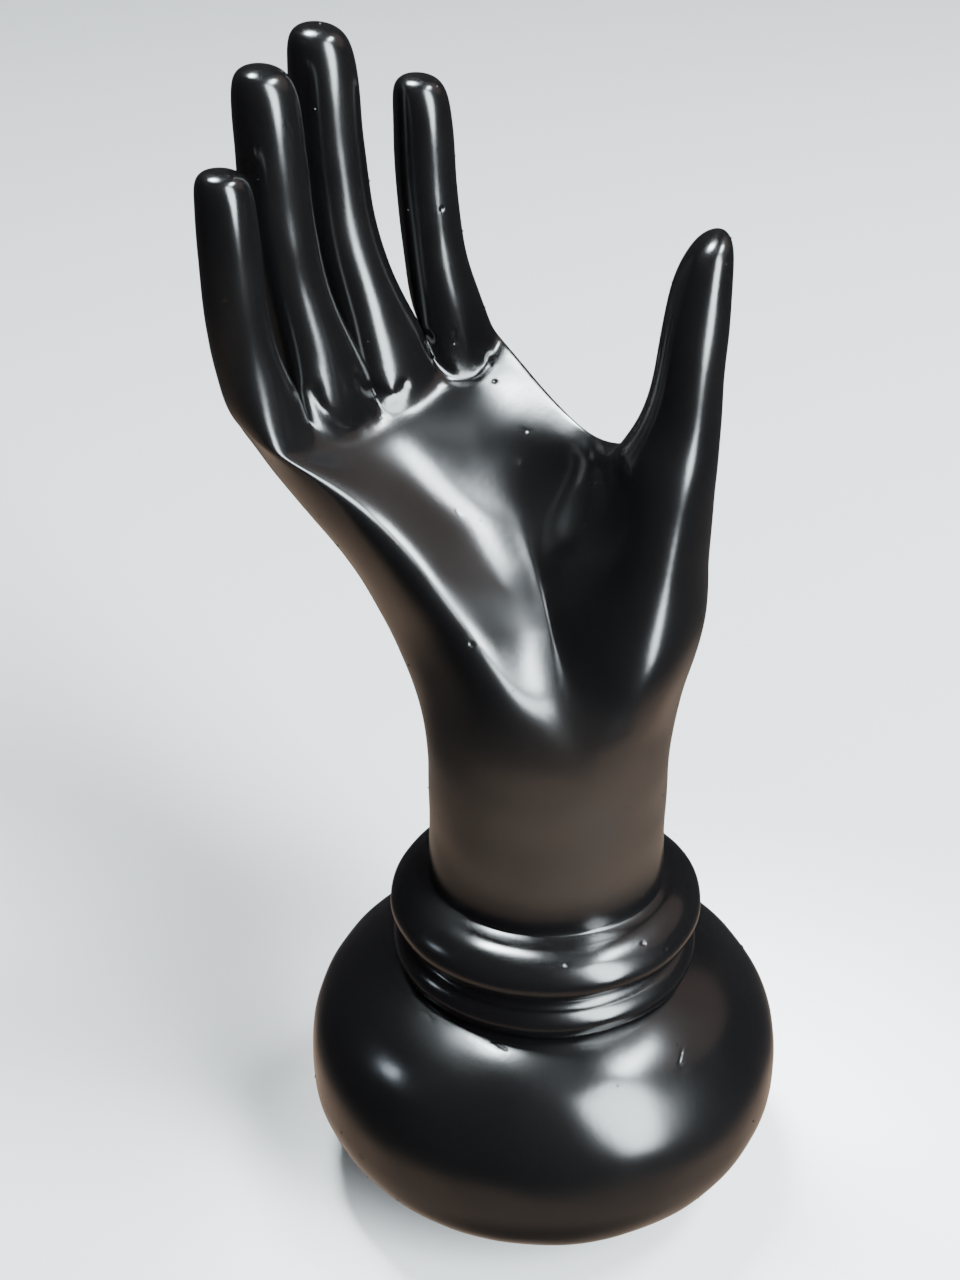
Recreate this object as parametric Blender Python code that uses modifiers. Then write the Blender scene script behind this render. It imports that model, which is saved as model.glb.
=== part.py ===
"""Jewelry display stand in the shape of a raised open hand, cast in one piece.

A turned foot, a squat ball under a rolled collar, carries a round wrist. The palm leans back and
towards the little finger, and the four fingers and the thumb stand up to hold rings, bracelets
and necklaces. Sizes are in metres, +Z is up, the palm looks towards -Y, the thumb is on the
+X side, and the origin is the middle of the flat underside.
"""

import math

import bmesh
import bpy
from mathutils import Vector

MM = 0.001

# The turned foot: a squat ball with a flat underside, a small bead on it and a big roll on top
FOOT_FLAT_RADIUS = 27 * MM
BALL_RADIUS = 60 * MM
BALL_LOWER_RISE = 36.3 * MM
BALL_UPPER_RISE = 38 * MM
BALL_SHOULDER_POWER = 2.6
ROUND_POWER = 2
BEAD_RADIUS = 38 * MM
BEAD_REACH = 5 * MM
BEAD_HALF_THICKNESS = 4.8 * MM
ROLL_RADIUS = 38.6 * MM
ROLL_REACH = 12 * MM
ROLL_HALF_THICKNESS = 8 * MM
GROOVE_OVERLAP = 1 * MM
# Where the arcs of roll and bead start and end, in degrees from outwards to up
ROLL_ARC = (96, -58)
BEAD_ARC = (54, -58)
TURNED_STEPS = 72
TURNED_MERGE = 0.01 * MM

# The wrist, an upright and nearly round column that grows out of the roll
WRIST_HALF_WIDTH = 29 * MM
WRIST_HALF_DEPTH = 27.2 * MM
WRIST_WAIST = 0.3 * MM
WRIST_LENGTH = 40.3 * MM
WRIST_SINK = 12 * MM
WRIST_BANDS = 4

# Ten lines run up the palm at equal steps, from the wrist's top to the finger roots. They go
# round the hand in the order given, and each place is in mm from the middle of the wrist's top.
PALM_LINES = (
    ("little finger's front", ((-19, -17, 23), (-29, -7, 42), (-43, 3, 57), (-58.5, 3, 69))),
    ("ring finger's front", ((-8, -24, 21), (-19, 1, 41), (-32, 16, 56), (-45, 19.5, 65))),
    ("middle finger's front", ((3, -24, 18), (-3, 8, 39), (-16, 23, 56), (-32, 31, 68))),
    ("index finger's front", ((15, -26, 19.5), (14, -17, 44), (11.5, 20, 59.5), (-18, 44, 70.5))),
    ("thumb side", ((33.5, -1, 18), (38.3, 2, 45), (8.5, 27, 62.5), (-12, 56, 79))),
    ("index finger's back", ((24, 23, 18), (17, 31, 40), (-2, 46, 60), (-27, 60, 77))),
    ("middle finger's back", ((5, 31, 17), (-6, 39, 34), (-20, 46, 54), (-39, 52, 72))),
    ("ring finger's back", ((-14, 30, 16), (-26, 35, 32), (-38, 38, 50), (-49, 39, 68))),
    ("little finger's back", ((-29, 20, 16), (-42, 23, 33), (-58.5, 22, 53), (-68, 19, 70))),
    ("little side", ((-35.3, 6, 17), (-45, 12, 36), (-57.5, 11, 56), (-68, 8, 73))),
)
# Sections of the palm: how far up the lines each lies, how deep the valleys between the
# fingers are there as a share of the half depth, and how deep the crease under each finger is
PALM_SECTIONS = (
    (0, 0, 0),
    (0.125, 0, 0),
    (0.25, 0, 0),
    (0.375, 0, 0),
    (0.5, 0, 0),
    (0.625, 0, 0),
    (0.75, 0, 0),
    (0.87, 0.08, 0),
    (0.955, 0.25, 0.04),
    (1, 0.45, 0.16),
)
# The crease between the palm and the ball of the thumb, and that ball's crest and flank, have
# places of their own, by the share up the lines and in mm from the middle of the wrist's top
PALM_CREASE = {
    0.375: (0.5, -9.5, 28),
    0.5: (-2, 6, 36.5),
    0.625: (-2.5, 17, 45),
    0.75: (5, 25, 56.5),
}
THUMB_BALL_CREST = {
    0.25: (26, -20.5, 20),
    0.375: (27.5, -20, 33),
    0.5: (27, -17.5, 46),
}
THUMB_BALL_FLANK = {0.625: (14.5, -4, 54)}
# The webs, from the one beside the little finger, stand this high over the finger roots
WEB_RISES = (9 * MM, 10 * MM, 13 * MM)

LITTLE_FINGER_LENGTH = 62 * MM
RING_FINGER_LENGTH = 81 * MM
MIDDLE_FINGER_LENGTH = 82.2 * MM
INDEX_FINGER_LENGTH = 65.5 * MM
# Fingers: length, radius, lean at the root, and how far the tip stands off the root sideways, as
# a share of the length
FINGERS = (
    (LITTLE_FINGER_LENGTH, 7.0 * MM, (-0.42, -0.05), (-0.119, -0.065)),
    (RING_FINGER_LENGTH, 8.0 * MM, (-0.50, 0.08), (-0.167, -0.037)),
    (MIDDLE_FINGER_LENGTH, 8.3 * MM, (-0.62, 0.22), (-0.193, 0.036)),
    (INDEX_FINGER_LENGTH, 7.2 * MM, (-0.30, 0.10), (-0.119, 0.015)),
)
FINGER_ROOT_HANDLE = 0.28
FINGER_TIP_HANDLE = 0.50
# The foot of a finger, up to this share of it, takes its shape from the palm
BASE_SHARE = 0.30
BASE_FADE = 1.5
# Sections of a finger: how far up it each lies, its girth as a share of the radius, and how far
# it is shifted towards the nail, as a share of the radius too
FINGER_SECTIONS = (
    (0.05, 1.18, 0),
    (0.12, 1.22, 0),
    (0.22, 1.14, 0),
    (0.36, 1.04, 0),
    (0.52, 1.00, 0),
    (0.68, 0.98, 0),
    (0.83, 0.96, 0),
    (0.93, 0.93, 0.03),
    (0.98, 0.74, 0.16),
)
NAIL_SHIFT_AT_TIP = 0.34
NAIL_SIDE = Vector((-0.9, 0.45, 0))

# The thumb stands on the side of the palm, this many bands up it. Its own sections have a middle,
# in mm from the middle of the wrist's top, a half width and a half depth.
THUMB_FOOT_BANDS = 4
THUMB_SECTIONS = (
    ((24, -1, 70), 11.8, 11.5),
    ((27.4, 0, 79.3), 8.8, 9.8),
    ((28.4, 0.5, 89.5), 7.5, 8.8),
    ((29.3, 1.5, 99.6), 7.3, 8.6),
    ((30.8, 4.5, 110.3), 6.4, 8.0),
    ((32.9, 6.5, 117.9), 4.4, 6.4),
)
THUMB_TIP = (35, 8, 122)

# A ring of the palm's cage has a front, a back and two sides, a finger's ring is an octagon
PALM_CORNERS = 2 * len(PALM_LINES)
THUMB_SIDE = PALM_CORNERS // 2 - 1
LITTLE_SIDE = PALM_CORNERS - 1
OWN_PLACES = {
    THUMB_SIDE - 3: PALM_CREASE,
    THUMB_SIDE - 2: THUMB_BALL_FLANK,
    THUMB_SIDE - 1: THUMB_BALL_CREST,
}
FINGER_CORNERS = 8
FIRST_CORNER_TURN = 3 / 8


def blend(a, b, share):
    return a + (b - a) * share


def mean(points):
    return sum(points, Vector()) / len(points)


def cage_swell(corners):
    """How much larger a ring of the cage is than the smoothed ring that it makes."""
    return 6 / (4 + 2 * math.cos(math.tau / corners))


def bezier(points, share):
    """Place and heading on a cubic curve."""
    a, b, c, d = points
    rest = 1 - share
    place = a * rest**3 + b * (3 * rest**2 * share) + c * (3 * rest * share**2) + d * share**3
    heading = (b - a) * rest**2 + (c - b) * (2 * rest * share) + (d - c) * share**2
    return place, heading.normalized()


def smooth_line(stations, share):
    """A curve through equally spaced stations."""
    spot = share * (len(stations) - 1)
    k = min(int(spot), len(stations) - 2)
    t = spot - k
    start, end = stations[k], stations[k + 1]
    before = stations[k - 1] if k else start * 2 - end
    after = stations[k + 2] if k + 2 < len(stations) else end * 2 - start
    leaving = (end - before) / 2
    arriving = (after - start) / 2
    bend = (end - start) * 3 - leaving * 2 - arriving
    turn = leaving + arriving - (end - start) * 2
    return start + leaving * t + bend * t**2 + turn * t**3


def ball_height(radius, rise, power):
    """Height over or under the ball's equator of its surface at this radius."""
    return rise * (1 - (radius / BALL_RADIUS) ** power) ** (1 / power)


def ball_equator():
    return ball_height(FOOT_FLAT_RADIUS, BALL_LOWER_RISE, ROUND_POWER)


def bead_height():
    shoulder = ball_height(BEAD_RADIUS, BALL_UPPER_RISE, BALL_SHOULDER_POWER)
    return ball_equator() + shoulder + BEAD_HALF_THICKNESS


def roll_height():
    return bead_height() + BEAD_HALF_THICKNESS + ROLL_HALF_THICKNESS - GROOVE_OVERLAP


def wrist_foot():
    return Vector((0, 0, roll_height() + ROLL_HALF_THICKNESS))


def wrist_top():
    return wrist_foot() + Vector((0, 0, WRIST_LENGTH))


def wrist_line_points(height):
    """The palm's ten lines where they run down the wrist, slimmer halfway."""
    up = (height - wrist_foot().z) / WRIST_LENGTH
    waist = WRIST_WAIST * math.sin(math.pi * min(1, max(0, up)))
    points = []
    for i in range(len(PALM_LINES)):
        angle = math.pi - (i + 1) * math.tau / len(PALM_LINES)
        across = math.cos(angle) * (WRIST_HALF_WIDTH - waist)
        back = -math.sin(angle) * (WRIST_HALF_DEPTH - waist)
        points.append(Vector((across, back, height)))
    return points


def palm_line_points(share):
    points = []
    for start, (_, stations) in zip(wrist_line_points(wrist_top().z), PALM_LINES):
        line = [start] + [wrist_top() + Vector(place) * MM for place in stations]
        points.append(smooth_line(line, share))
    return points


def cage_ring(line_points):
    """Corners of a section: the line points and one between each two, swollen to the cage."""
    corners = []
    for i, point in enumerate(line_points):
        before, after = line_points[i - 1], line_points[(i + 1) % len(line_points)]
        corners.append(((before + point) * 9 - line_points[i - 2] - after) / 16)
        corners.append(point)
    middle = mean(corners)
    return [middle + (point - middle) * cage_swell(PALM_CORNERS) for point in corners]


def press_ring(corners, valley, crease):
    """Presses the valleys between the fingers and the creases under them into a section."""
    for column in range(2, THUMB_SIDE - 1):
        opposite = 2 * THUMB_SIDE - column
        spine = (corners[column] + corners[opposite]) / 2
        if column % 2:
            corners[column] = blend(corners[column], spine, crease)
        else:
            corners[column] = blend(corners[column], spine, valley)
            corners[opposite] = blend(corners[opposite], spine, valley)


def add_ring(mesh, points):
    return [mesh.verts.new(point) for point in points]


def skin(mesh, lower, upper, left_out=()):
    """Joins two rings with the same number of corners by one band of faces."""
    for i in range(len(lower)):
        j = (i + 1) % len(lower)
        if i not in left_out:
            mesh.faces.new((lower[i], lower[j], upper[j], upper[i]))


def close_tip(mesh, ring, tip):
    """Closes the top of a finger with four faces round its tip."""
    top = mesh.verts.new(tip)
    for k in range(0, len(ring), 2):
        mesh.faces.new((ring[k - 1], ring[k], ring[k + 1], top))


def add_finger(mesh, loop, length, radius, lean, tip_lean):
    """Grows one finger from its loop on the palm: it leans out of the palm, then stands up."""
    root = mean([corner.co for corner in loop])
    tip = root + Vector((*tip_lean, 1)) * length
    root_handle = Vector((*lean, 1)) * length * FINGER_ROOT_HANDLE
    tip_handle = Vector((0, 0, length * FINGER_TIP_HANDLE))
    path = (root, root + root_handle, tip - tip_handle, tip)
    across = loop[2].co - loop[6].co
    lower = loop
    foot = [corner.co - root for corner in loop]
    for share, girth, shift in FINGER_SECTIONS:
        centre, heading = bezier(path, share)
        centre += NAIL_SIDE * radius * shift
        across = (across - heading * across.dot(heading)).normalized()
        front = across.cross(heading)
        reach_out = radius * girth * cage_swell(FINGER_CORNERS)
        foot_part = max(0, 1 - share / BASE_SHARE) ** BASE_FADE
        points = []
        for k in range(FINGER_CORNERS):
            angle = math.tau * (FIRST_CORNER_TURN - k / FINGER_CORNERS)
            round_offset = (across * math.cos(angle) + front * math.sin(angle)) * reach_out
            points.append(centre + blend(round_offset, foot[k], foot_part))
        upper = add_ring(mesh, points)
        skin(mesh, lower, upper)
        lower = upper
    close_tip(mesh, lower, tip + NAIL_SIDE * radius * NAIL_SHIFT_AT_TIP)


def add_thumb(mesh, loop):
    """Grows the thumb upright from its loop on the side of the palm."""
    lower = loop
    for place, half_width, half_depth in THUMB_SECTIONS:
        centre = wrist_top() + Vector(place) * MM
        reach_out = cage_swell(FINGER_CORNERS) * MM
        points = []
        for k in range(FINGER_CORNERS):
            angle = math.tau * (k - 1) / FINGER_CORNERS
            offset = Vector((math.cos(angle) * half_width, math.sin(angle) * half_depth, 0))
            points.append(centre + offset * reach_out)
        upper = add_ring(mesh, points)
        skin(mesh, lower, upper)
        lower = upper
    close_tip(mesh, lower, wrist_top() + Vector(THUMB_TIP) * MM)


def hand_cage():
    """The coarse cage of wrist, palm, thumb and fingers, closed at the bottom."""
    mesh = bmesh.new()
    heights = [wrist_foot().z - WRIST_SINK]
    heights += [wrist_foot().z + WRIST_LENGTH * band / WRIST_BANDS for band in range(WRIST_BANDS)]
    rings = [add_ring(mesh, cage_ring(wrist_line_points(height))) for height in heights]
    mesh.faces.new(list(reversed(rings[0])))
    thumb_foot = len(rings) + THUMB_FOOT_BANDS
    for share, valley, crease in PALM_SECTIONS:
        corners = cage_ring(palm_line_points(share))
        press_ring(corners, valley, crease)
        for column, places in OWN_PLACES.items():
            if share in places:
                corners[column] = wrist_top() + Vector(places[share]) * MM
        rings.append(add_ring(mesh, corners))

    thumb_columns = (THUMB_SIDE - 2, THUMB_SIDE - 1)
    for number in range(len(rings) - 1):
        under_thumb = number in (thumb_foot, thumb_foot + 1)
        skin(mesh, rings[number], rings[number + 1], thumb_columns if under_thumb else ())
    front, side, back = THUMB_SIDE - 2, THUMB_SIDE - 1, THUMB_SIDE
    low, mid, high = rings[thumb_foot : thumb_foot + 3]
    loop = [low[side], low[back], mid[back], high[back], high[side], high[front], mid[front], low[front]]
    add_thumb(mesh, loop)
    mesh.verts.remove(mid[side])

    roots = rings[-1]
    webs = [roots[LITTLE_SIDE]]
    for number, rise in enumerate(WEB_RISES, start=1):
        spine = (roots[2 * number].co + roots[2 * (THUMB_SIDE - number)].co) / 2
        webs.append(mesh.verts.new(spine + Vector((0, 0, rise))))
    webs.append(roots[THUMB_SIDE])
    for number, finger in enumerate(FINGERS):
        near = 2 * number
        far = 2 * THUMB_SIDE - near
        loop = roots[near : near + 3] + [webs[number + 1]] + roots[far - 2 : far + 1] + [webs[number]]
        add_finger(mesh, loop, *finger)
    bmesh.ops.recalc_face_normals(mesh, faces=mesh.faces)
    return mesh


def full_wave(value, power):
    return math.copysign(abs(value) ** (2 / power), value)


def arc(centre_radius, centre_height, reach, rise, start, end, steps, power=ROUND_POWER):
    """Points of an arc in the profile's plane; angles in degrees from +X upwards.

    The arc is elliptic, or fuller at the shoulder where the power is over 2.
    """
    points = []
    for i in range(steps + 1):
        angle = math.radians(blend(start, end, i / steps))
        across = full_wave(math.cos(angle), power) * reach
        up = full_wave(math.sin(angle), power) * rise
        points.append(Vector((centre_radius + across, 0, centre_height + up)))
    return points


def foot_profile():
    """Half section of the foot: roll, bead, the ball's upper side, its lower side, the flat."""
    roll_core = ROLL_RADIUS - ROLL_REACH
    bead_core = BEAD_RADIUS - BEAD_REACH
    under_bead = (bead_core + BEAD_RADIUS) / 2 / BALL_RADIUS
    crown_start = math.degrees(math.acos(under_bead ** (BALL_SHOULDER_POWER / 2)))
    flat_start = math.degrees(math.acos(FOOT_FLAT_RADIUS / BALL_RADIUS))
    points = [Vector((0, 0, roll_height() + ROLL_HALF_THICKNESS / 2))]
    points += arc(roll_core, roll_height(), ROLL_REACH, ROLL_HALF_THICKNESS, *ROLL_ARC, 10)
    points += arc(bead_core, bead_height(), BEAD_REACH, BEAD_HALF_THICKNESS, *BEAD_ARC, 6)
    points += arc(
        0, ball_equator(), BALL_RADIUS, BALL_UPPER_RISE, crown_start, 0, 9, BALL_SHOULDER_POWER
    )
    points += arc(0, ball_equator(), BALL_RADIUS, BALL_LOWER_RISE, 0, -flat_start, 9)[1:]
    points.append(Vector((0, 0, 0)))
    return points


def turned_foot():
    mesh = bmesh.new()
    corners = [mesh.verts.new(point) for point in foot_profile()]
    for upper, lower in zip(corners, corners[1:]):
        mesh.edges.new((upper, lower))
    data = bpy.data.meshes.new("hand_stand")
    mesh.to_mesh(data)
    mesh.free()
    made = bpy.data.objects.new("hand_stand", data)
    turn = made.modifiers.new("turned foot", "SCREW")
    turn.steps = turn.render_steps = TURNED_STEPS
    turn.use_merge_vertices = True
    turn.merge_threshold = TURNED_MERGE
    return made


def smoothed_hand():
    data = bpy.data.meshes.new("hand")
    cage = hand_cage()
    cage.to_mesh(data)
    cage.free()
    made = bpy.data.objects.new("hand", data)
    smooth = made.modifiers.new("smooth skin", "SUBSURF")
    smooth.levels = smooth.render_levels = 1
    made.hide_render = True
    made.display_type = "WIRE"
    return made


def lacquer():
    made = bpy.data.materials.new("black lacquer")
    made.use_nodes = True
    shader = made.node_tree.nodes["Principled BSDF"]
    shader.inputs["Base Color"].default_value = (0.012, 0.011, 0.012, 1)
    shader.inputs["Roughness"].default_value = 0.25
    shader.inputs["Metallic"].default_value = 0
    return made


def main():
    for old in list(bpy.data.objects):
        bpy.data.objects.remove(old)
    stand = bpy.data.collections.new("hand jewelry stand")
    joined_shapes = bpy.data.collections.new("joined shapes")
    bpy.context.scene.collection.children.link(stand)
    bpy.context.scene.collection.children.link(joined_shapes)

    hand = smoothed_hand()
    joined_shapes.objects.link(hand)
    casting = turned_foot()
    stand.objects.link(casting)
    casting.data.materials.append(lacquer())
    union = casting.modifiers.new("hand grows from the foot", "BOOLEAN")
    union.operation = "UNION"
    union.object = hand


main()
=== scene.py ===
import math

import bmesh
import bpy
import numpy as np
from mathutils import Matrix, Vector, noise
from mathutils.bvhtree import BVHTree


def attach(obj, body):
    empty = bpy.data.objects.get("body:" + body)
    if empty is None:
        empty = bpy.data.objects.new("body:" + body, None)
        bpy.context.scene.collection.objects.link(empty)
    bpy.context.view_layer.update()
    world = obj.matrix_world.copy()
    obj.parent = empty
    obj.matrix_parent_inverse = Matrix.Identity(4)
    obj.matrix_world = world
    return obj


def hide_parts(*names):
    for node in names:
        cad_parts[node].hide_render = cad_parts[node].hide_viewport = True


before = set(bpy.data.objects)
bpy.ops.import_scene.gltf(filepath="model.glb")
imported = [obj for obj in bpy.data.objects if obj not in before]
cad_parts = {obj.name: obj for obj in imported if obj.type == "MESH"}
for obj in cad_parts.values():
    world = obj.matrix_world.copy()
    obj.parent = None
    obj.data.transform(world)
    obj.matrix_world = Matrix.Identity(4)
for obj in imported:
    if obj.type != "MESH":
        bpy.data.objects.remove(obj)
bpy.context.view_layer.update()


# The camera of the photograph, a little above the fingertips and half a metre away, looking down
# at the palm. The photo is 960 x 1280 pixels.
MM = 0.001
PHOTO_HEIGHT = 1280
FOCAL_PIXELS = 1950
SENSOR = 36
CAMERA_PLACE = (-16.3, -390, 380)
CAMERA_TILT = 60

camera = bpy.data.cameras.new("photo camera")
camera.sensor_width = SENSOR
camera.lens = FOCAL_PIXELS / PHOTO_HEIGHT * SENSOR
camera.clip_start = 0.01
camera_object = bpy.data.objects.new("photo camera", camera)
camera_object.location = Vector(CAMERA_PLACE) * MM
camera_object.rotation_euler = (math.radians(CAMERA_TILT), 0, 0)
bpy.context.scene.collection.objects.link(camera_object)
bpy.context.scene.camera = camera_object


# The pale table and the soft light of a dim room. The lacquer mirrors the tall window and four
# smaller lights as its highlights, and the brown lower part of the room as its brown rims.
FLOOR_SIZE = 8

floor_data = bpy.data.meshes.new("pale table")
half = FLOOR_SIZE / 2
floor_corners = [(-half, -half, 0), (half, -half, 0), (half, half, 0), (-half, half, 0)]
floor_data.from_pydata(floor_corners, [], [(0, 1, 2, 3)])
floor = bpy.data.objects.new("pale table", floor_data)
bpy.context.scene.collection.objects.link(floor)
pale = bpy.data.materials.new("pale table")
pale.use_nodes = True
table_shader = pale.node_tree.nodes["Principled BSDF"]
table_shader.inputs["Base Color"].default_value = (0.78, 0.775, 0.77, 1)
table_shader.inputs["Roughness"].default_value = 0.8
floor_data.materials.append(pale)
# The lacquer mirrors the room's brown band in its place
floor.visible_glossy = False

room = bpy.data.worlds.new("dim room")
room.use_nodes = True
nodes, links = room.node_tree.nodes, room.node_tree.links
seen = nodes["Background"]
seen.inputs["Color"].default_value = (0.92, 0.92, 0.92, 1)
direction = nodes.new("ShaderNodeTexCoord")
split = nodes.new("ShaderNodeSeparateXYZ")
height = nodes.new("ShaderNodeMapRange")
height.inputs["From Min"].default_value = -1
height.inputs["From Max"].default_value = 0
ramp = nodes.new("ShaderNodeValToRGB")
# Colours of the room from straight down (0) to the horizon (1)
ROOM_BANDS = (
    (0, (0.05, 0.04, 0.032, 1)),
    (0.15, (0.3, 0.23, 0.18, 1)),
    (0.35, (0.37, 0.275, 0.21, 1)),
    (0.48, (0.08, 0.072, 0.066, 1)),
    (0.65, (0.03, 0.029, 0.032, 1)),
)
ROOM_STRENGTH = 2

for spot, colour in ROOM_BANDS:
    band = ramp.color_ramp.elements.new(spot)
    band.color = colour
ramp.color_ramp.elements.remove(ramp.color_ramp.elements[-1])
ramp.color_ramp.elements.remove(ramp.color_ramp.elements[0])
dim = nodes.new("ShaderNodeBackground")
path = nodes.new("ShaderNodeLightPath")
mix = nodes.new("ShaderNodeMixShader")
links.new(direction.outputs["Generated"], split.inputs["Vector"])
links.new(split.outputs["Z"], height.inputs["Value"])
dim.inputs["Strength"].default_value = ROOM_STRENGTH
links.new(height.outputs["Result"], ramp.inputs["Fac"])
links.new(ramp.outputs["Color"], dim.inputs["Color"])
links.new(path.outputs["Is Camera Ray"], mix.inputs["Fac"])
links.new(dim.outputs["Background"], mix.inputs[1])
links.new(seen.outputs["Background"], mix.inputs[2])
links.new(mix.outputs["Shader"], nodes["World Output"].inputs["Surface"])
bpy.context.scene.world = room


def soft_light(name, width, height, watts, colour):
    """A round soft light with no place yet; sizes in metres."""
    light = bpy.data.lights.new(name, "AREA")
    light.shape = "ELLIPSE"
    light.size = width
    light.size_y = height
    light.energy = watts
    light.color = colour
    made = bpy.data.objects.new(name, light)
    bpy.context.scene.collection.objects.link(made)
    return made


def add_window(name, turn, distance, middle, width, height, watts, colour):
    """A soft upright light; turn is in degrees from straight behind the viewer to the right."""
    made = soft_light(name, width, height, watts, colour)
    angle = math.radians(turn)
    made.location = (math.sin(angle) * distance, -math.cos(angle) * distance, middle)
    made.rotation_euler = (math.pi / 2, 0, angle)


DAYLIGHT = (0.86, 0.95, 1)
add_window("tall window on the right", 43, 2, 1.6, 0.95, 3.6, 430, DAYLIGHT)


def add_panel(name, turn, rise, distance, width, height, watts, colour, aim, spread=180):
    """A soft light aimed at a place in mm; turn, rise and spread are in degrees."""
    made = soft_light(name, width, height, watts, colour)
    angle, up = math.radians(turn), math.radians(rise)
    way = Vector((math.sin(angle) * math.cos(up), -math.cos(angle) * math.cos(up), math.sin(up)))
    made.location = Vector(aim) * MM + way * distance
    made.rotation_euler = (made.location - Vector(aim) * MM).to_track_quat("Z", "Y").to_euler()
    made.data.spread = math.radians(spread)
    made.visible_camera = False


STAND_MIDDLE = (0, 0, 150)
PALM_UPPER = (-5, 30, 190)
BALL_LEFT = (-37, -35, 55)
add_panel("skylight", 82, 61, 2.4, 1.0, 0.42, 115, DAYLIGHT, STAND_MIDDLE)
add_panel("low ceiling panel", -128, 74, 0.3, 0.19, 0.19, 0.38, DAYLIGHT, PALM_UPPER, 22)
add_panel("brown wall", 112, 42, 2.4, 2.2, 1.9, 6, (1, 0.72, 0.6), STAND_MIDDLE)
add_panel(
    "small lamp on the left", -85, 24, 0.32, 0.03, 0.07, 0.0018, (0.75, 0.88, 1), BALL_LEFT, 20
)


# The foot of the casting: a squat ball with a flat underside, a small bead on it and a big roll on
# top, turned on a lathe for the mould. The profile is swept round the axis. Sizes are in mm.
FOOT_FLAT_RADIUS = 27
BALL_RADIUS = 60
BALL_LOWER_RISE = 36.3
BALL_UPPER_RISE = 38
BALL_SHOULDER_POWER = 2.6
BEAD_RADIUS = 38
BEAD_REACH = 5
BEAD_HALF_THICKNESS = 4.8
ROLL_RADIUS = 38.6
ROLL_REACH = 12
ROLL_HALF_THICKNESS = 8
GROOVE_OVERLAP = 1
ROUND_POWER = 2
# Where each arc starts and ends, in degrees from outwards to up
ROLL_ARC = (68, -58)
BEAD_ARC = (56, -60)
BALL_UNDER_BEAD = 1.5
UNDERSIDE_RADII = (FOOT_FLAT_RADIUS - 1, FOOT_FLAT_RADIUS * 0.5, 0.5)
ROLL_STEPS = 26
BEAD_STEPS = 14
CROWN_STEPS = 40
BELLY_STEPS = 34
ROUND_STEPS = 160


def ball_height(radius, rise, power):
    return rise * (1 - (radius / BALL_RADIUS) ** power) ** (1 / power)


EQUATOR = ball_height(FOOT_FLAT_RADIUS, BALL_LOWER_RISE, ROUND_POWER)
SHOULDER = ball_height(BEAD_RADIUS, BALL_UPPER_RISE, BALL_SHOULDER_POWER)
BEAD_HEIGHT = EQUATOR + SHOULDER + BEAD_HALF_THICKNESS
ROLL_HEIGHT = BEAD_HEIGHT + BEAD_HALF_THICKNESS + ROLL_HALF_THICKNESS - GROOVE_OVERLAP
ROLL_TOP = ROLL_HEIGHT + ROLL_HALF_THICKNESS


def arc(core, height, reach, rise, start, end, steps, power=ROUND_POWER):
    """Points (radius, height) of an arc; angles in degrees from outwards to up.

    The arc is elliptic, or fuller at the shoulder where the power is over 2.
    """
    angles = np.radians(np.linspace(start, end, steps + 1))
    across = np.cos(angles) ** (2 / power)
    up = np.sign(np.sin(angles)) * np.abs(np.sin(angles)) ** (2 / power)
    return list(zip(core + reach * across, height + rise * up))


bead_core = BEAD_RADIUS - BEAD_REACH
roll_core = ROLL_RADIUS - ROLL_REACH
crown_cosine = ((bead_core + BALL_UNDER_BEAD) / BALL_RADIUS) ** (BALL_SHOULDER_POWER / 2)
crown_start = math.degrees(math.acos(crown_cosine))
flat_start = math.degrees(math.acos(FOOT_FLAT_RADIUS / BALL_RADIUS))
profile = arc(roll_core, ROLL_HEIGHT, ROLL_REACH, ROLL_HALF_THICKNESS, *ROLL_ARC, ROLL_STEPS)
profile += arc(bead_core, BEAD_HEIGHT, BEAD_REACH, BEAD_HALF_THICKNESS, *BEAD_ARC, BEAD_STEPS)
profile += arc(
    0, EQUATOR, BALL_RADIUS, BALL_UPPER_RISE, crown_start, 0, CROWN_STEPS, BALL_SHOULDER_POWER
)
profile += arc(0, EQUATOR, BALL_RADIUS, BALL_LOWER_RISE, 0, -flat_start, BELLY_STEPS)[1:]
profile += [(radius, 0) for radius in UNDERSIDE_RADII]

# The finish of the whole casting: black lacquer, sprayed on by hand, glossy with softer patches
# and a fine pebbled skin. Round the wrist a painted reflection of the brown table is mixed into
# the black colour. Heights are in mm.
PATCH_SCALE = 45
PATCH_RANGE = (0.2, 0.8)
LACQUER_ROUGHNESS = (0.17, 0.26)
PEBBLE_SCALE = 650
PEBBLE_HEIGHT = 0.05
PEBBLE_STRENGTH = 0.25
FULL_COAT = (0.002, 0.0019, 0.002, 1)
# Painted reflection: the brown that the wrist mirrors from the table, painted into its colour
# between these heights
PAINTED_TABLE_REFLECTION = (0.013, 0.0095, 0.0075, 1)
PAINTED_REFLECTION_STARTS = (92, 102)
PAINTED_REFLECTION_ENDS = (155, 118)

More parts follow.
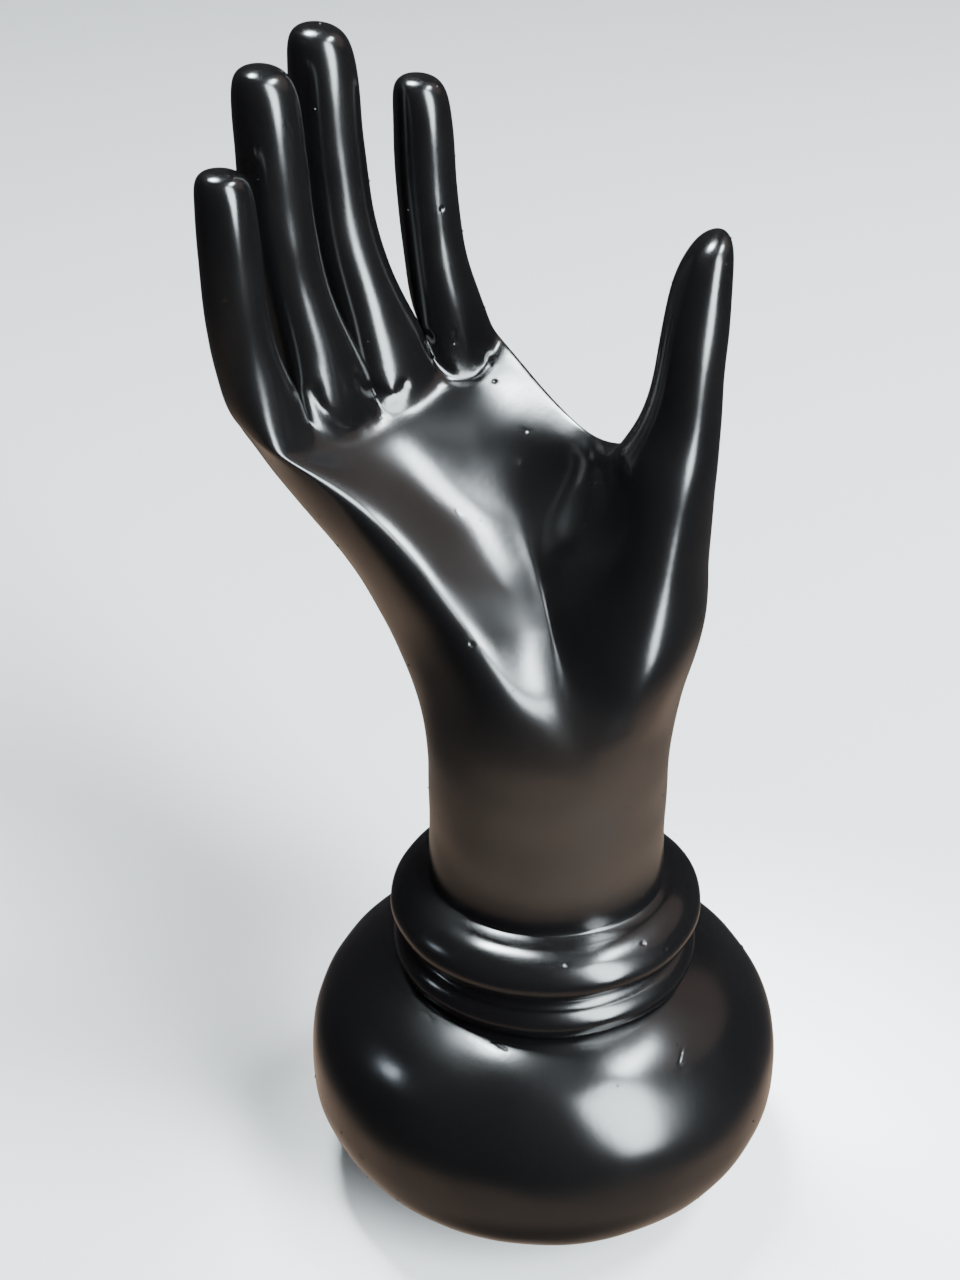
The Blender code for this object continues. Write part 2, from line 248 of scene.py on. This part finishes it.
lacquer = bpy.data.materials.new("black lacquer")
lacquer.use_nodes = True
nodes, links = lacquer.node_tree.nodes, lacquer.node_tree.links
shader = nodes["Principled BSDF"]
place = nodes.new("ShaderNodeTexCoord")
patches = nodes.new("ShaderNodeTexNoise")
patches.inputs["Scale"].default_value = PATCH_SCALE
softer = nodes.new("ShaderNodeMapRange")
softer.interpolation_type = "SMOOTHSTEP"
softer.inputs["From Min"].default_value, softer.inputs["From Max"].default_value = PATCH_RANGE
softer.inputs["To Min"].default_value, softer.inputs["To Max"].default_value = LACQUER_ROUGHNESS
pebbles = nodes.new("ShaderNodeTexNoise")
pebbles.inputs["Scale"].default_value = PEBBLE_SCALE
pebbled = nodes.new("ShaderNodeBump")
pebbled.inputs["Strength"].default_value = PEBBLE_STRENGTH
pebbled.inputs["Distance"].default_value = PEBBLE_HEIGHT * MM
heights = nodes.new("ShaderNodeSeparateXYZ")
# Mask of the painted brown reflection round the wrist
painted_reflection_mask = nodes.new("ShaderNodeMath")
painted_reflection_mask.operation = "MULTIPLY"
# The black lacquer mixed with the painted brown reflection
coat_and_painted_reflection = nodes.new("ShaderNodeMix")
coat_and_painted_reflection.data_type = "RGBA"
coat_and_painted_reflection.inputs["A"].default_value = FULL_COAT
coat_and_painted_reflection.inputs["B"].default_value = PAINTED_TABLE_REFLECTION
links.new(place.outputs["Object"], heights.inputs["Vector"])
for number, (none_at, full_at) in enumerate((PAINTED_REFLECTION_STARTS, PAINTED_REFLECTION_ENDS)):
    fade = nodes.new("ShaderNodeMapRange")
    fade.interpolation_type = "SMOOTHSTEP"
    fade.inputs["From Min"].default_value = none_at * MM
    fade.inputs["From Max"].default_value = full_at * MM
    links.new(heights.outputs["Z"], fade.inputs["Value"])
    links.new(fade.outputs["Result"], painted_reflection_mask.inputs[number])
links.new(painted_reflection_mask.outputs["Value"], coat_and_painted_reflection.inputs["Factor"])
links.new(coat_and_painted_reflection.outputs["Result"], shader.inputs["Base Color"])
links.new(place.outputs["Object"], patches.inputs["Vector"])
links.new(place.outputs["Object"], pebbles.inputs["Vector"])
links.new(patches.outputs["Fac"], softer.inputs["Value"])
links.new(softer.outputs["Result"], shader.inputs["Roughness"])
links.new(pebbles.outputs["Fac"], pebbled.inputs["Height"])
links.new(pebbled.outputs["Normal"], shader.inputs["Normal"])

LATHE_RADIUS = 100
foot_data = bpy.data.meshes.new("turned foot")
foot_data.from_pydata(
    [((radius - LATHE_RADIUS) * MM, -height * MM, 0) for radius, height in profile],
    [(i, i + 1) for i in range(len(profile) - 1)],
    [],
)
foot_profile = bpy.data.objects.new("turned_foot", foot_data)
bpy.context.scene.collection.objects.link(foot_profile)


def add_socket(group, name, kind, way="INPUT"):
    return group.interface.new_socket(name, in_out=way, socket_type="NodeSocket" + kind)


lathe = bpy.data.node_groups.new("turn a profile", "GeometryNodeTree")
add_socket(lathe, "Profile", "Geometry")
steps_socket = add_socket(lathe, "Steps round", "Int")
add_socket(lathe, "Turned", "Geometry", "OUTPUT")
given = lathe.nodes.new("NodeGroupInput")
result = lathe.nodes.new("NodeGroupOutput")
to_curve = lathe.nodes.new("GeometryNodeMeshToCurve")
circle = lathe.nodes.new("GeometryNodeCurvePrimitiveCircle")
circle.mode = "RADIUS"
circle.inputs["Radius"].default_value = LATHE_RADIUS * MM
sweep = lathe.nodes.new("GeometryNodeCurveToMesh")
lathe.links.new(given.outputs["Profile"], to_curve.inputs["Mesh"])
lathe.links.new(given.outputs["Steps round"], circle.inputs["Resolution"])
lathe.links.new(circle.outputs["Curve"], sweep.inputs["Curve"])
lathe.links.new(to_curve.outputs["Curve"], sweep.inputs["Profile Curve"])
whole = lathe.nodes.new("GeometryNodeRealizeInstances")
painted = lathe.nodes.new("GeometryNodeSetMaterial")
painted.inputs["Material"].default_value = lacquer
lathe.links.new(sweep.outputs["Mesh"], whole.inputs["Geometry"])
lathe.links.new(whole.outputs["Geometry"], painted.inputs["Geometry"])
lathe.links.new(painted.outputs["Geometry"], result.inputs["Turned"])
turn = foot_profile.modifiers.new("turn", "NODES")
turn.node_group = lathe
turn[steps_socket.identifier] = ROUND_STEPS


def made_plain(thing):
    """The mesh that an object's modifiers make; the object itself is deleted."""
    ready = thing.evaluated_get(bpy.context.evaluated_depsgraph_get())
    mesh = bpy.data.meshes.new_from_object(ready)
    bpy.data.objects.remove(thing)
    return mesh


foot_mesh = made_plain(foot_profile)


# The wrist and the palm: a round column that opens out, leans back and towards the little finger,
# and hollows in the middle. Ten lines run up it, in mm from the middle of the wrist's top.
WRIST_HALF_WIDTH = 29
WRIST_HALF_DEPTH = 27.2
WRIST_WAIST = 0.3
WRIST_LENGTH = 40.3
WRIST_BANDS = 4
BURIED_BANDS = 2
WRIST_TOP = Vector((0, 0, ROLL_TOP + WRIST_LENGTH))
PALM_LINES = (
    ("little finger's front", ((-19, -17, 23), (-29, -7, 42), (-43, 3, 57), (-58.5, 3, 69))),
    ("ring finger's front", ((-8, -24, 21), (-19, 1, 41), (-32, 16, 56), (-45, 19.5, 65))),
    ("middle finger's front", ((3, -24, 18), (-3, 8, 39), (-16, 23, 56), (-32, 31, 68))),
    ("index finger's front", ((15, -26, 19.5), (14, -17, 44), (11.5, 20, 59.5), (-18, 44, 70.5))),
    ("thumb side", ((33.5, -1, 18), (38.3, 2, 45), (8.5, 27, 62.5), (-12, 56, 79))),
    ("index finger's back", ((24, 23, 18), (17, 31, 40), (-2, 46, 60), (-27, 60, 77))),
    ("middle finger's back", ((5, 31, 17), (-6, 39, 34), (-20, 46, 54), (-39, 52, 72))),
    ("ring finger's back", ((-14, 30, 16), (-26, 35, 32), (-38, 38, 50), (-49, 39, 68))),
    ("little finger's back", ((-29, 20, 16), (-42, 23, 33), (-58.5, 22, 53), (-68, 19, 70))),
    ("little side", ((-35.3, 6, 17), (-45, 12, 36), (-57.5, 11, 56), (-68, 8, 73))),
)
# Share up the lines, depth of the valleys between the fingers, depth of the creases under them
PALM_SECTIONS = (
    (0, 0, 0),
    (0.125, 0, 0),
    (0.25, 0, 0),
    (0.375, 0, 0),
    (0.5, 0, 0),
    (0.625, 0, 0),
    (0.75, 0, 0),
    (0.87, 0.08, 0),
    (0.955, 0.25, 0.04),
    (1, 0.45, 0.16),
)
PALM_CORNERS = 2 * len(PALM_LINES)
THUMB_SIDE = PALM_CORNERS // 2 - 1
LITTLE_SIDE = PALM_CORNERS - 1


def blend(a, b, share):
    return a + (b - a) * share


def mean(points):
    return sum(points, Vector()) / len(points)


def cage_swell(corners):
    """How much larger a ring of the cage is than the smoothed ring that it makes."""
    return 6 / (4 + 2 * math.cos(math.tau / corners))


def smooth_line(stations, share):
    """A curve through equally spaced stations."""
    spot = share * (len(stations) - 1)
    k = min(int(spot), len(stations) - 2)
    t = spot - k
    start, end = stations[k], stations[k + 1]
    before = stations[k - 1] if k else start * 2 - end
    after = stations[k + 2] if k + 2 < len(stations) else end * 2 - start
    leaving = (end - before) / 2
    arriving = (after - start) / 2
    bend = (end - start) * 3 - leaving * 2 - arriving
    curl = leaving + arriving - (end - start) * 2
    return start + leaving * t + bend * t**2 + curl * t**3


def wrist_line_points(height):
    up = (height - ROLL_TOP) / WRIST_LENGTH
    waist = WRIST_WAIST * math.sin(math.pi * min(1, max(0, up)))
    points = []
    for i in range(len(PALM_LINES)):
        angle = math.pi - (i + 1) * math.tau / len(PALM_LINES)
        across = math.cos(angle) * (WRIST_HALF_WIDTH - waist)
        points.append(Vector((across, -math.sin(angle) * (WRIST_HALF_DEPTH - waist), height)))
    return points


def palm_line_points(share):
    points = []
    for start, (_, places) in zip(wrist_line_points(WRIST_TOP.z), PALM_LINES):
        stations = [start] + [WRIST_TOP + Vector(place) for place in places]
        points.append(smooth_line(stations, share))
    return points


def cage_ring(line_points):
    """Corners of a section: the line points and one between each two, swollen to the cage."""
    corners = []
    for i, point in enumerate(line_points):
        before, after = line_points[i - 1], line_points[(i + 1) % len(line_points)]
        corners.append(((before + point) * 9 - line_points[i - 2] - after) / 16)
        corners.append(point)
    middle = mean(corners)
    return [middle + (point - middle) * cage_swell(PALM_CORNERS) for point in corners]


# Corners that have places of their own, by share up the palm: the crease down the palm, and the
# crest and flank of the ball of the thumb
PALM_CREASE = {
    0.375: (0.5, -9.5, 28),
    0.5: (-2, 6, 36.5),
    0.625: (-2.5, 17, 45),
    0.75: (5, 25, 56.5),
}
THUMB_BALL_CREST = {
    0.25: (26, -20.5, 20),
    0.375: (27.5, -20, 33),
    0.5: (27, -17.5, 46),
}
THUMB_BALL_FLANK = {0.625: (14.5, -4, 54)}
OWN_PLACES = {
    THUMB_SIDE - 3: PALM_CREASE,
    THUMB_SIDE - 1: THUMB_BALL_CREST,
    THUMB_SIDE - 2: THUMB_BALL_FLANK,
}


def press_ring(corners, valley, crease):
    """Presses the valleys between the fingers and the creases under them into a section."""
    for column in range(2, THUMB_SIDE - 1):
        opposite = 2 * THUMB_SIDE - column
        spine = (corners[column] + corners[opposite]) / 2
        if column % 2:
            corners[column] = blend(corners[column], spine, crease)
        else:
            corners[column] = blend(corners[column], spine, valley)
            corners[opposite] = blend(corners[opposite], spine, valley)


def add_ring(mesh, points):
    return [mesh.verts.new(point) for point in points]


def skin(mesh, lower, upper, left_out=()):
    """Joins two rings with the same number of corners by one band of faces."""
    for i in range(len(lower)):
        j = (i + 1) % len(lower)
        if i not in left_out:
            mesh.faces.new((lower[i], lower[j], upper[j], upper[i]))


cage = bmesh.new()
rings = []
for band in range(-BURIED_BANDS, WRIST_BANDS):
    height = ROLL_TOP + WRIST_LENGTH * band / WRIST_BANDS
    rings.append(add_ring(cage, cage_ring(wrist_line_points(height))))
palm_start = len(rings)
for share, valley, crease in PALM_SECTIONS:
    corners = cage_ring(palm_line_points(share))
    press_ring(corners, valley, crease)
    for column, places in OWN_PLACES.items():
        if share in places:
            corners[column] = WRIST_TOP + Vector(places[share])
    rings.append(add_ring(cage, corners))


# The thumb stands upright on the side of the palm and tapers to a narrow tip that turns out. Its
# sections have a middle, in mm from the middle of the wrist's top, a half width and a half depth.
THUMB_FOOT_BANDS = 4
THUMB_SECTIONS = (
    ((24, -1, 70), 11.8, 11.5),
    ((27.4, 0, 79.3), 8.8, 9.8),
    ((28.4, 0.5, 89.5), 7.5, 8.8),
    ((29.3, 1.5, 99.6), 7.3, 8.6),
    ((30.8, 4.5, 110.3), 6.4, 8.0),
    ((32.9, 6.5, 117.9), 4.4, 6.4),
)
THUMB_TIP = (35, 8, 122)
FINGER_CORNERS = 8


def close_tip(mesh, ring, tip):
    """Closes the top of a finger with four faces round its tip."""
    top = mesh.verts.new(tip)
    for k in range(0, len(ring), 2):
        mesh.faces.new((ring[k - 1], ring[k], ring[k + 1], top))


thumb_foot = palm_start + THUMB_FOOT_BANDS
thumb_columns = (THUMB_SIDE - 2, THUMB_SIDE - 1)
for number in range(len(rings) - 1):
    under_thumb = number in (thumb_foot, thumb_foot + 1)
    skin(cage, rings[number], rings[number + 1], thumb_columns if under_thumb else ())
low, mid, high = rings[thumb_foot : thumb_foot + 3]
front, side, back = THUMB_SIDE - 2, THUMB_SIDE - 1, THUMB_SIDE
lower = [low[side], low[back], mid[back], high[back]]
lower += [high[side], high[front], mid[front], low[front]]
cage.verts.remove(mid[side])
for place, half_width, half_depth in THUMB_SECTIONS:
    points = []
    for k in range(FINGER_CORNERS):
        angle = math.tau * (k - 1) / FINGER_CORNERS
        offset = Vector((math.cos(angle) * half_width, math.sin(angle) * half_depth, 0))
        points.append(WRIST_TOP + Vector(place) + offset * cage_swell(FINGER_CORNERS))
    upper = add_ring(cage, points)
    skin(cage, lower, upper)
    lower = upper
close_tip(cage, lower, WRIST_TOP + Vector(THUMB_TIP))


# The four fingers grow out of the palm's upper edge, lean with it at first and then stand up. They
# are slim and blunt, and the ring and middle fingers are the longest. Lengths are in mm.
# Length, radius, lean at the root, and how far the tip stands off sideways for its length
FINGERS = (
    (62, 7.0, (-0.42, -0.05), (-0.119, -0.065)),
    (81, 8.0, (-0.50, 0.08), (-0.167, -0.037)),
    (82.2, 8.3, (-0.62, 0.22), (-0.193, 0.036)),
    (65.5, 7.2, (-0.30, 0.10), (-0.119, 0.015)),
)
WEB_RISES = (9, 10, 13)
FINGER_ROOT_HANDLE = 0.28
FINGER_TIP_HANDLE = 0.50
BASE_SHARE = 0.30
BASE_FADE = 1.5
FIRST_CORNER_TURN = 3 / 8
# Share up the finger, girth and shift towards the nail as shares of the radius
FINGER_SECTIONS = (
    (0.05, 1.18, 0),
    (0.12, 1.22, 0),
    (0.22, 1.14, 0),
    (0.36, 1.04, 0),
    (0.52, 1.00, 0),
    (0.68, 0.98, 0),
    (0.83, 0.96, 0),
    (0.93, 0.93, 0.03),
    (0.98, 0.74, 0.16),
)
NAIL_SHIFT_AT_TIP = 0.34
NAIL_SIDE = Vector((-0.9, 0.45, 0))


def bezier(points, share):
    """Place and heading on a cubic curve."""
    a, b, c, d = points
    rest = 1 - share
    place = a * rest**3 + b * (3 * rest**2 * share) + c * (3 * rest * share**2) + d * share**3
    heading = (b - a) * rest**2 + (c - b) * (2 * rest * share) + (d - c) * share**2
    return place, heading.normalized()


def grow_finger(mesh, loop, length, radius, lean, tip_lean):
    root = mean([corner.co for corner in loop])
    tip = root + Vector((*tip_lean, 1)) * length
    root_handle = Vector((*lean, 1)) * length * FINGER_ROOT_HANDLE
    tip_handle = Vector((0, 0, length * FINGER_TIP_HANDLE))
    path = (root, root + root_handle, tip - tip_handle, tip)
    across = loop[2].co - loop[6].co
    lower = loop
    starts = [corner.co - root for corner in loop]
    for share, girth, shift in FINGER_SECTIONS:
        centre, heading = bezier(path, share)
        centre += NAIL_SIDE * radius * shift
        across = (across - heading * across.dot(heading)).normalized()
        front = across.cross(heading)
        reach_out = radius * girth * cage_swell(FINGER_CORNERS)
        points = []
        for k in range(FINGER_CORNERS):
            angle = math.tau * (FIRST_CORNER_TURN - k / FINGER_CORNERS)
            round_part = (across * math.cos(angle) + front * math.sin(angle)) * reach_out
            root_part = max(0, 1 - share / BASE_SHARE) ** BASE_FADE
            points.append(centre + blend(round_part, starts[k], root_part))
        upper = add_ring(mesh, points)
        skin(mesh, lower, upper)
        lower = upper
    close_tip(mesh, lower, tip + NAIL_SIDE * radius * NAIL_SHIFT_AT_TIP)


roots = rings[-1]
webs = [roots[LITTLE_SIDE]]
for number, rise in enumerate(WEB_RISES, start=1):
    spine = (roots[2 * number].co + roots[2 * (THUMB_SIDE - number)].co) / 2
    webs.append(cage.verts.new(spine + Vector((0, 0, rise))))
webs.append(roots[THUMB_SIDE])
for number, finger in enumerate(FINGERS):
    near = 2 * number
    far = 2 * THUMB_SIDE - near
    loop = roots[near : near + 3] + [webs[number + 1]] + roots[far - 2 : far + 1] + [webs[number]]
    grow_finger(cage, loop, *finger)
bmesh.ops.recalc_face_normals(cage, faces=cage.faces)

SKIN_LEVELS = 3
hand_data = bpy.data.meshes.new("hand")
cage.to_mesh(hand_data)
cage.free()
hand_object = bpy.data.objects.new("hand", hand_data)
bpy.context.scene.collection.objects.link(hand_object)
smooth = hand_object.modifiers.new("smooth skin", "SUBSURF")
smooth.levels = smooth.render_levels = SKIN_LEVELS
hand_mesh = made_plain(hand_object)


# Hand and foot are one casting. The wrist runs down into the groove on top of the roll, and two
# narrow bands of faces join the two skins there. Heights and steps are in mm.
GROOVE_STEP = 0.3
LOOP_MARGIN = 1
ROLL_START_DEPTH = 3
ROUNDING = 0.01
SAME_PLACE = 0.005

casting = bmesh.new()
casting.from_mesh(hand_mesh)
wrist_foot = ROLL_TOP + ROUNDING
buried = [face for face in casting.faces if max(v.co.z for v in face.verts) < wrist_foot]
bmesh.ops.delete(casting, geom=buried, context="FACES")
bmesh.ops.scale(casting, vec=(MM, MM, MM), verts=casting.verts)


def open_loop(mesh, lowest, highest):
    """The corners of an open edge between two heights, in order round the axis."""
    corners = {v for e in mesh.edges if e.is_boundary for v in e.verts}
    between = [v for v in corners if lowest * MM < v.co.z < highest * MM]
    return sorted(between, key=lambda v: math.atan2(v.co.y, v.co.x))


wrist_end = open_loop(casting, ROLL_TOP - LOOP_MARGIN, ROLL_TOP + LOOP_MARGIN)
groove = []
for corner in wrist_end:
    outwards = Vector((corner.co.x, corner.co.y, 0)).normalized() * GROOVE_STEP
    groove.append(casting.verts.new(corner.co + (outwards - Vector((0, 0, GROOVE_STEP))) * MM))
casting.from_mesh(foot_mesh)
bmesh.ops.remove_doubles(casting, verts=casting.verts, dist=SAME_PLACE * MM)
roll_start = open_loop(casting, ROLL_TOP - ROLL_START_DEPTH, ROLL_TOP - GROOVE_STEP * 1.5)
skin(casting, wrist_end, groove)
first = min(range(len(groove)), key=lambda i: (roll_start[i].co - groove[0].co).length)
skin(casting, groove, roll_start[first:] + roll_start[:first])
underside = open_loop(casting, -LOOP_MARGIN, LOOP_MARGIN)
casting.faces.new(underside)
bmesh.ops.recalc_face_normals(casting, faces=casting.faces)


# The skin isn't quite even, as the model for the mould was shaped and rubbed down by hand. The
# waves fade out towards the flat underside. Sizes are in mm.
WAVE_LENGTH = 14
WAVE_HEIGHT = 0.3
FLAT_HEIGHT = 3

casting.normal_update()
moves = []
for corner in casting.verts:
    wave = noise.noise(corner.co / (WAVE_LENGTH * MM), noise_basis="PERLIN_NEW") * WAVE_HEIGHT
    share = min(1, max(0, corner.co.z / MM / FLAT_HEIGHT - 1))
    moves.append(corner.normal * wave * share * MM)
for corner, move in zip(casting.verts, moves):
    corner.co += move


# Marks in the skin: the creases under the fingers, pinholes from air in the mould, scratches and
# chips. Each follows places (x, z) in mm as seen from the front. The skin is made finer there and
# the mark is pressed in.
CREASE_HALF_WIDTH = 1.7
CREASE_DEPTH = 0.55
CREASE_RAGGEDNESS = 0.3
CREASES = (
    ((-54, 209), (-52, 204.5), (-48, 200), (-45, 198), (-42.5, 198.5)),
    ((-44, 208), (-42, 204.5), (-39, 202), (-36, 201.5), (-34, 203.5)),
    ((-28.5, 211), (-26, 205.5), (-22.5, 202), (-17.5, 202), (-14.5, 204.5)),
)
PINHOLE_WIDTH_SHARE = 0.8
PINHOLE_DEPTH_SHARE = 0.4
# x, z and size
PINHOLES = (
    (-18.3, 162, 0.75),
    (-15.4, 153.4, 0.5),
    (-6.5, 188, 0.55),
    (-5.5, 193.8, 0.5),
    (-12.7, 201, 0.6),
    (-13.7, 203.7, 0.5),
    (13.2, 199, 0.55),
    (-11.6, 160, 0.35),
    (-21.8, 180.8, 0.35),
    (-25, 242, 0.6),
    (3.7, 87.6, 0.45),
    (22.2, 87.7, 0.6),
    (27.9, 84.7, 0.5),
    (-70.3, 235.5, 0.5),
)
SCRATCH_HALF_WIDTH = 0.28
SCRATCH_DEPTH = 0.12
SCRATCH_RAGGEDNESS = 0.5
SCRATCHES = (
    ((-22, 213), (-22.3, 210)),
    ((-6, 141), (-4, 142.2), (-1.5, 142)),
    ((17, 124), (19.5, 121.5)),
    ((-29.5, 65.2), (-28, 64.8)),
    ((-13, 65.2), (-10, 64.7)),
    ((32.2, 61), (31.2, 59.6), (32.6, 58.4)),
    ((6, 44), (6.6, 42.4)),
    ((-57, 269), (-56, 266.5)),
)
CREASE_STEPS = 14
RAGGED_LENGTH = 3.5
IN_FRONT = 200
# How far the skin is made finer and how far a mark reaches, in half widths of the mark
FINE_REACH = 3
FINE_MARGIN = 0.8
MARK_REACH = 4
# The finer edges, in half widths of the mark, and the most cuts that an edge takes
FINE_STEP = 0.65
MOST_CUTS = 4


def distance_to_line(place, line):
    """Distance of a place from the nearest stretch of a line."""
    gaps = [(place - line[0]).length]
    for start, end in zip(line, line[1:]):
        along = end - start
        share = min(1, max(0, (place - start).dot(along) / along.length_squared))
        gaps.append((place - start - along * share).length)
    return min(gaps)


def skin_near(mesh, line, reach):
    """The corners of the skin within reach of a line, with their distances from it."""
    middle = mean(line)
    around = (max((place - middle).length for place in line) + reach) ** 2
    near = [corner for corner in mesh.verts if (corner.co - middle).length_squared < around]
    gaps = [(corner, distance_to_line(corner.co, line)) for corner in near]
    return [(corner, gap) for corner, gap in gaps if gap < reach]


def press_mark(mesh, path, half_width, depth, raggedness=0):
    """Presses a mark into the front of the skin."""
    places = [Vector((x, -IN_FRONT, z)) * MM for x, z in path]
    if len(path) > 3:
        places = [smooth_line(places, step / CREASE_STEPS) for step in range(CREASE_STEPS + 1)]
    line = [even_skin.ray_cast(place, Vector((0, 1, 0)))[0] for place in places]
    fine = skin_near(mesh, line, (half_width * FINE_REACH + FINE_MARGIN) * MM)
    close = {corner for corner, _ in fine}
    around = {edge for corner in close for edge in corner.link_edges}
    edges = [edge for edge in around if all(corner in close for corner in edge.verts)]
    longest = max(edge.calc_length() for edge in edges) / MM
    cuts = min(MOST_CUTS, math.ceil(longest / half_width / FINE_STEP))
    bmesh.ops.subdivide_edges(mesh, edges=edges, cuts=cuts, smooth=1, use_grid_fill=True)
    mesh.normal_update()
    for corner, gap in skin_near(mesh, line, half_width * MARK_REACH * MM):
        height = -depth * math.exp(-((gap / MM / half_width) ** 2))
        height *= 1 + raggedness * noise.noise(corner.co / (RAGGED_LENGTH * MM))
        corner.co += corner.normal * height * MM


even_skin = BVHTree.FromBMesh(casting)
for path in CREASES:
    press_mark(casting, path, CREASE_HALF_WIDTH, CREASE_DEPTH, CREASE_RAGGEDNESS)
for x, z, size in PINHOLES:
    press_mark(casting, ((x, z),), size * PINHOLE_WIDTH_SHARE, size * PINHOLE_DEPTH_SHARE)
for path in SCRATCHES:
    press_mark(casting, path, SCRATCH_HALF_WIDTH, SCRATCH_DEPTH, SCRATCH_RAGGEDNESS)
bmesh.ops.recalc_face_normals(casting, faces=casting.faces)
for face in casting.faces:
    face.smooth = True

hand_stand = bpy.data.objects.new("hand_stand_casting", bpy.data.meshes.new("hand_stand_casting"))
bpy.context.scene.collection.objects.link(hand_stand)
casting.to_mesh(hand_stand.data)
casting.free()
hand_stand.data.materials.append(lacquer)


# Nibs of dust that dried in the lacquer. They are scattered over the whole casting but for its
# underside, which stays flat on the table.
NIB_RADIUS = 0.2
NIB_SIZES = (0.5, 1.5)
NIBS_PER_SQUARE_METRE = 6000
CLEAN_HEIGHT = 2

nibs = bpy.data.node_groups.new("dust in the lacquer", "GeometryNodeTree")
add_socket(nibs, "Casting", "Geometry")
density_socket = add_socket(nibs, "Nibs per square metre", "Float")
radius_socket = add_socket(nibs, "Nib radius", "Float")
add_socket(nibs, "Dusty casting", "Geometry", "OUTPUT")
given = nibs.nodes.new("NodeGroupInput")
result = nibs.nodes.new("NodeGroupOutput")
scatter = nibs.nodes.new("GeometryNodeDistributePointsOnFaces")
scatter.inputs["Seed"].default_value = 7
spot = nibs.nodes.new("GeometryNodeInputPosition")
spot_height = nibs.nodes.new("ShaderNodeSeparateXYZ")
off_table = nibs.nodes.new("ShaderNodeMath")
off_table.operation = "GREATER_THAN"
off_table.inputs[1].default_value = CLEAN_HEIGHT * MM
nibs.links.new(spot.outputs["Position"], spot_height.inputs["Vector"])
nibs.links.new(spot_height.outputs["Z"], off_table.inputs[0])
nibs.links.new(off_table.outputs["Value"], scatter.inputs["Selection"])
nib = nibs.nodes.new("GeometryNodeMeshIcoSphere")
nib.inputs["Subdivisions"].default_value = 1
size = nibs.nodes.new("FunctionNodeRandomValue")
size.data_type = "FLOAT"
size.inputs[2].default_value, size.inputs[3].default_value = NIB_SIZES
size.inputs["Seed"].default_value = 3
drop = nibs.nodes.new("GeometryNodeInstanceOnPoints")
together = nibs.nodes.new("GeometryNodeJoinGeometry")
whole = nibs.nodes.new("GeometryNodeRealizeInstances")
painted = nibs.nodes.new("GeometryNodeSetMaterial")
painted.inputs["Material"].default_value = lacquer
nibs.links.new(given.outputs["Casting"], scatter.inputs["Mesh"])
nibs.links.new(given.outputs["Nibs per square metre"], scatter.inputs["Density"])
nibs.links.new(given.outputs["Nib radius"], nib.inputs["Radius"])
nibs.links.new(scatter.outputs["Points"], drop.inputs["Points"])
nibs.links.new(nib.outputs["Mesh"], drop.inputs["Instance"])
nibs.links.new(size.outputs[1], drop.inputs["Scale"])
nibs.links.new(drop.outputs["Instances"], together.inputs["Geometry"])
nibs.links.new(given.outputs["Casting"], together.inputs["Geometry"])
nibs.links.new(together.outputs["Geometry"], whole.inputs["Geometry"])
nibs.links.new(whole.outputs["Geometry"], painted.inputs["Geometry"])
nibs.links.new(painted.outputs["Geometry"], result.inputs["Dusty casting"])
dust = hand_stand.modifiers.new("dust", "NODES")
dust.node_group = nibs
dust[density_socket.identifier] = float(NIBS_PER_SQUARE_METRE)
dust[radius_socket.identifier] = NIB_RADIUS * MM
hand_stand_mesh = made_plain(hand_stand)
hand_stand_mesh.materials.clear()
hand_stand_mesh.materials.append(lacquer)
hand_stand = bpy.data.objects.new("hand_stand_casting", hand_stand_mesh)
bpy.context.scene.collection.objects.link(hand_stand)


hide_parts("hand_stand")
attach(hand_stand, "root")
